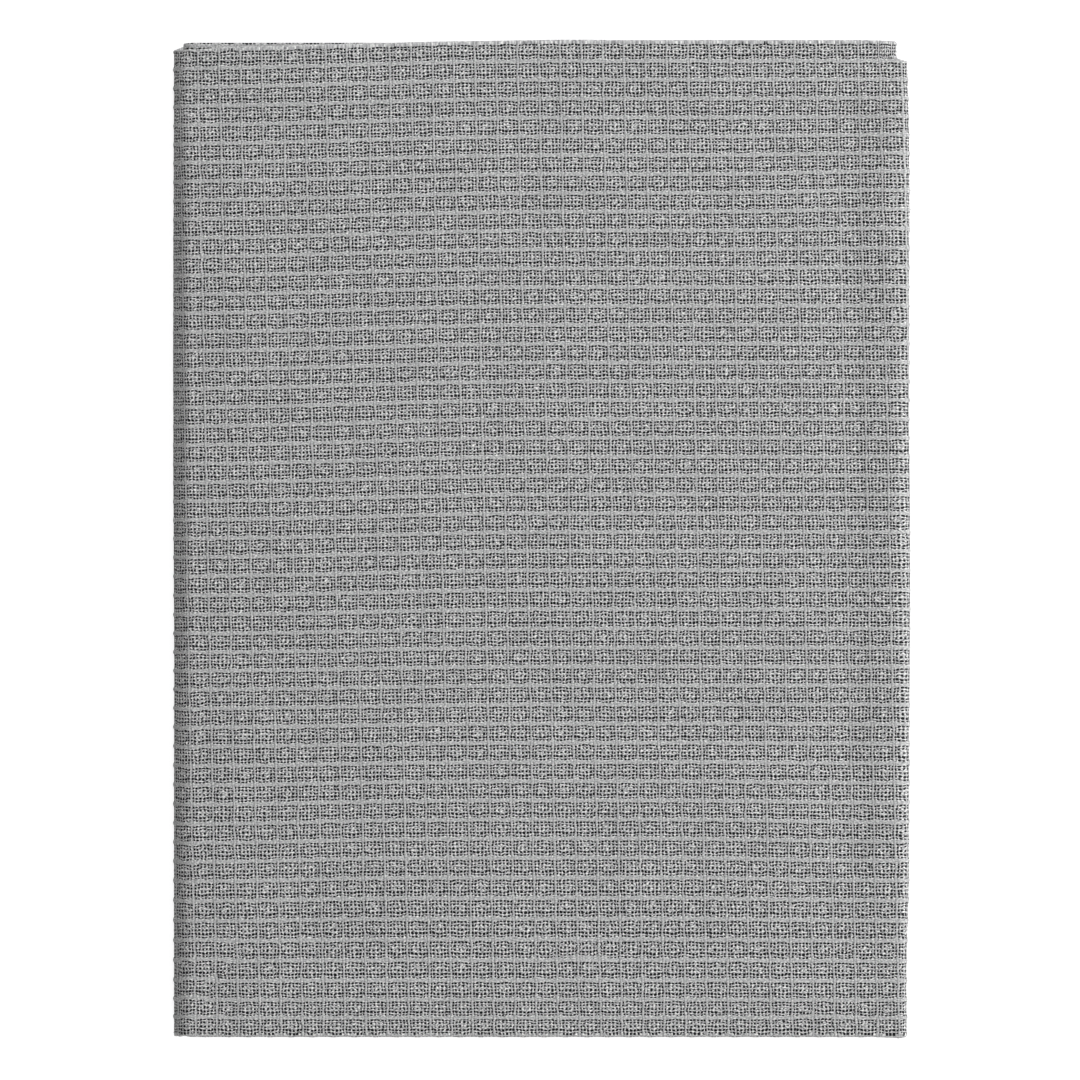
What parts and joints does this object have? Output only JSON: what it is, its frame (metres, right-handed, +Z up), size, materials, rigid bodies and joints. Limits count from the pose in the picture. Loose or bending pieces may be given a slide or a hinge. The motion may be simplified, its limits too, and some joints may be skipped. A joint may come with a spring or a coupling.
{
  "type": "folded throw blanket",
  "caption": "Plain grey honeycomb-weave throw blanket, hemmed and folded flat into a neat rectangular packet for a shelf or bed end.",
  "frame": {"origin": "centre of the packet's underside, on the surface it rests on", "axes": "+Z up; +X from the closed spine of the packet to its open side; +Y from the rolled end to the hemmed end"},
  "size_m": [0.35, 0.474, 0.02],
  "materials": {
    "woven_cloth": "matte",
    "sewing_thread": "matte",
    "label_tape": "satin"
  },
  "bodies": {
    "lower_half": {"bottom_strip_back_ply": "woven_cloth", "bottom_strip_back_roll": "woven_cloth", "bottom_strip_end_hem": "woven_cloth", "bottom_strip_end_hem_thread": "sewing_thread", "bottom_strip_face_ply": "woven_cloth", "bottom_strip_front_inner_roll": "woven_cloth", "bottom_strip_front_outer_roll": "woven_cloth", "bottom_strip_second_ply": "woven_cloth", "bottom_strip_side_hem": "woven_cloth", "bottom_strip_side_hem_thread": "sewing_thread", "bottom_strip_third_ply": "woven_cloth", "care_label": "label_tape", "care_label_tacks": "sewing_thread", "spine_inner_back_corner": "woven_cloth", "spine_inner_back_web": "woven_cloth", "spine_inner_face_web": "woven_cloth", "spine_inner_front_corner": "woven_cloth", "spine_inner_second_web": "woven_cloth", "spine_inner_third_web": "woven_cloth", "spine_outer_back_corner": "woven_cloth", "spine_outer_back_web": "woven_cloth", "spine_outer_face_web": "woven_cloth", "spine_outer_front_corner": "woven_cloth", "spine_outer_second_web": "woven_cloth", "spine_outer_third_web": "woven_cloth", "third_strip_back_ply": "woven_cloth", "third_strip_back_roll": "woven_cloth", "third_strip_end_hem": "woven_cloth", "third_strip_end_hem_thread": "sewing_thread", "third_strip_face_ply": "woven_cloth", "third_strip_front_inner_roll": "woven_cloth", "third_strip_front_outer_roll": "woven_cloth", "third_strip_second_ply": "woven_cloth", "third_strip_side_hem": "woven_cloth", "third_strip_side_hem_thread": "sewing_thread", "third_strip_third_ply": "woven_cloth"},
    "upper_half": {"right_fold_back_corner": "woven_cloth", "right_fold_back_web": "woven_cloth", "right_fold_face_web": "woven_cloth", "right_fold_front_corner": "woven_cloth", "right_fold_second_web": "woven_cloth", "right_fold_third_web": "woven_cloth", "second_strip_back_ply": "woven_cloth", "second_strip_back_roll": "woven_cloth", "second_strip_end_hem": "woven_cloth", "second_strip_end_hem_thread": "sewing_thread", "second_strip_face_ply": "woven_cloth", "second_strip_front_inner_roll": "woven_cloth", "second_strip_front_outer_roll": "woven_cloth", "second_strip_second_ply": "woven_cloth", "second_strip_third_ply": "woven_cloth", "top_strip_back_ply": "woven_cloth", "top_strip_back_roll": "woven_cloth", "top_strip_end_hem": "woven_cloth", "top_strip_end_hem_thread": "sewing_thread", "top_strip_face_ply": "woven_cloth", "top_strip_front_inner_roll": "woven_cloth", "top_strip_front_outer_roll": "woven_cloth", "top_strip_second_ply": "woven_cloth", "top_strip_third_ply": "woven_cloth"}
  },
  "joints": [
    {"name": "spine_fold", "type": "hinge", "parent": "lower_half", "child": "upper_half", "pos_m": [-0.17, 0, 0.01], "axis": [0, -1, 0], "range_deg": [0, 180], "deforming": ["spine_inner_back_corner", "spine_inner_back_web", "spine_inner_face_web", "spine_inner_front_corner", "spine_inner_second_web", "spine_inner_third_web", "spine_outer_back_corner", "spine_outer_back_web", "spine_outer_face_web", "spine_outer_front_corner", "spine_outer_second_web", "spine_outer_third_web"]}
  ]
}
